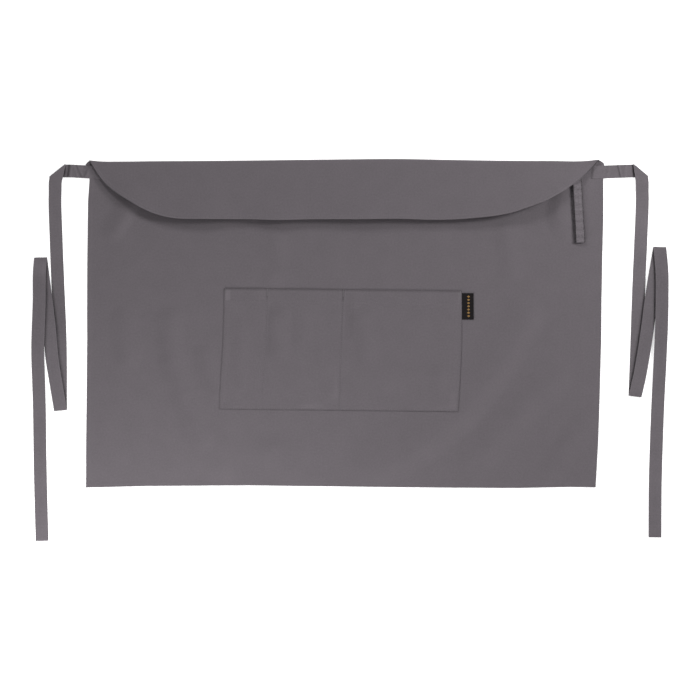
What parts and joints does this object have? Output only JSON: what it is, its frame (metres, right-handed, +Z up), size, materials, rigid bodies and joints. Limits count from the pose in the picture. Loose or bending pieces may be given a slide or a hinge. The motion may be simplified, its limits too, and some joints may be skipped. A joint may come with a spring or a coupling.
{
  "type": "bistro apron",
  "caption": "Long waist apron of dark grey twill lying flat, waist folded forward, with a divided pocket, a towel loop and flat ties laid in zigzags.",
  "frame": {"origin": "middle of the whole apron's box at the surface that it lies on", "axes": "+X to the right along the waist fold, +Y towards the waist, +Z up off the surface"},
  "size_m": [1.2392, 0.7432, 0.0147],
  "materials": {
    "twill": "dark grey cotton twill, matt, with a fine diagonal weave",
    "tie_tape": "dark grey cotton twill folded and edge stitched, matt",
    "loop_tape": "dark grey cotton twill folded into a narrow strip, slightly puckered",
    "woven_tab": "black woven tab with a plain gold motif, slight satin sheen"
  },
  "bodies": {
    "root": {"skirt": "twill", "pocket": "twill", "tie_left": "tie_tape", "tie_right": "tie_tape", "towel_loop": "loop_tape", "label_tab": "woven_tab"}
  },
  "joints": []
}
